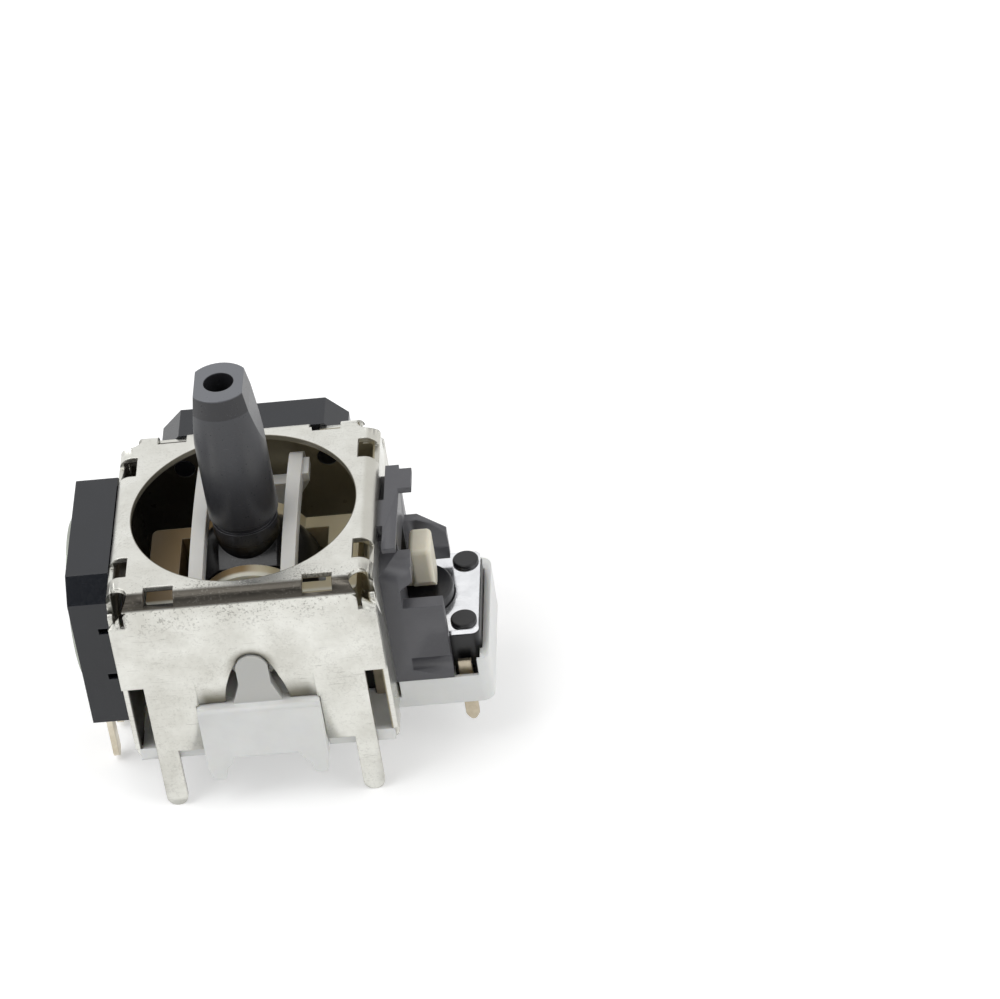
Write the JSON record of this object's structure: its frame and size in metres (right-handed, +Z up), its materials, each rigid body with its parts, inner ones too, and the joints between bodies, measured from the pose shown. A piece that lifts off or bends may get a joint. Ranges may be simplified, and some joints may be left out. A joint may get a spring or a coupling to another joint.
{
  "type": "thumbstick module",
  "caption": "Two-axis analog thumbstick module with a bare lever in a folded steel cover, two rotary sensors and a side push switch, for soldering to a circuit board.",
  "frame": {"origin": "on the lever's axis, in the plane of the circuit board that the base's bosses stand on", "axes": "+Z up along the lever, +X towards the push switch, -Y towards the front plate with the arched bearing and the two legs"},
  "size_m": [0.0199, 0.0157, 0.021],
  "materials": {
    "plated_steel": "bright satin plating with fine pits",
    "white_moulding": "satin moulded white",
    "black_moulding": "satin moulded black",
    "switch_case": "matte moulded black",
    "switch_plate": "mirror-bright plated",
    "button_black": "satin moulded black",
    "holder_grey": "satin moulded dark grey",
    "lever_grey": "satin moulded dark grey",
    "arch_white": "milky natural moulding",
    "arm_beige": "natural beige moulding",
    "disc_white": "satin moulded white",
    "cap_grey": "satin grey sheet",
    "track_film": "carbon film",
    "rotor_white": "satin moulded white",
    "tin_pin": "tinned brass",
    "spring_steel": "drawn wire",
    "contact_metal": "thin contact sheet"
  },
  "bodies": {
    "module": {"base": "white_moulding", "frame_cover": "plated_steel", "side_holder": "holder_grey", "switch_body": "switch_case", "switch_cover": "switch_plate", "switch_dome": "contact_metal", "switch_pin_1": "tin_pin", "switch_pin_2": "tin_pin", "switch_pin_3": "tin_pin", "switch_pin_4": "tin_pin", "return_spring": "spring_steel", "left_pot_housing": "black_moulding", "left_pot_cap": "cap_grey", "left_pot_track": "track_film", "left_pot_pin_1": "tin_pin", "left_pot_pin_2": "tin_pin", "left_pot_pin_3": "tin_pin", "back_pot_housing": "black_moulding", "back_pot_cap": "cap_grey", "back_pot_track": "track_film", "back_pot_pin_1": "tin_pin", "back_pot_pin_2": "tin_pin", "back_pot_pin_3": "tin_pin"},
    "left_rotor": {"left_pot_rotor": "rotor_white", "left_pot_wiper": "contact_metal"},
    "lower_arm": {"lower_arm": "arm_beige"},
    "lever": {"lever": "lever_grey"},
    "upper_arm": {"upper_arm": "arch_white", "back_pot_rotor": "rotor_white", "back_pot_wiper": "contact_metal"},
    "switch_button": {"switch_button": "button_black"},
    "return_disc": {"return_disc": "disc_white"}
  },
  "joints": [
    {"name": "fore_aft_tilt", "type": "hinge", "parent": "module", "child": "left_rotor", "pos_m": [0, 0, 0.00579], "axis": [1, 0, 0], "range_deg": [-18, 18], "stiffness_Nm_per_rad": 0.03},
    {"name": "lever_press", "type": "hinge", "parent": "left_rotor", "child": "lower_arm", "pos_m": [-0.0064, 0, 0.00579], "axis": [0, 1, 0], "range_deg": [0, 1.8], "stiffness_Nm_per_rad": 0.6},
    {"name": "side_tilt", "type": "hinge", "parent": "lower_arm", "child": "lever", "pos_m": [0, 0, 0.00579], "axis": [0, 1, 0], "range_deg": [-18, 18], "stiffness_Nm_per_rad": 0.03},
    {"name": "upper_arm_tilt", "type": "hinge", "parent": "module", "child": "upper_arm", "pos_m": [0, 0, 0.00579], "axis": [0, 1, 0], "range_deg": [-19.1, 19.1]},
    {"name": "switch_travel", "type": "slide", "parent": "module", "child": "switch_button", "axis": [0, 0, -1], "range_m": [0, 0.000303], "deforming": ["switch_dome"]},
    {"name": "disc_travel", "type": "slide", "parent": "module", "child": "return_disc", "axis": [0, 0, -1], "range_m": [0, 0.00020304], "deforming": ["return_spring"]}
  ],
  "couplings": [
    {"joint": "upper_arm_tilt", "follows": "side_tilt", "ratio": 1.05},
    {"joint": "switch_travel", "follows": "lever_press", "m_per_rad": 0.0095493},
    {"joint": "disc_travel", "follows": "lever_press", "m_per_rad": 0.0063989}
  ]
}
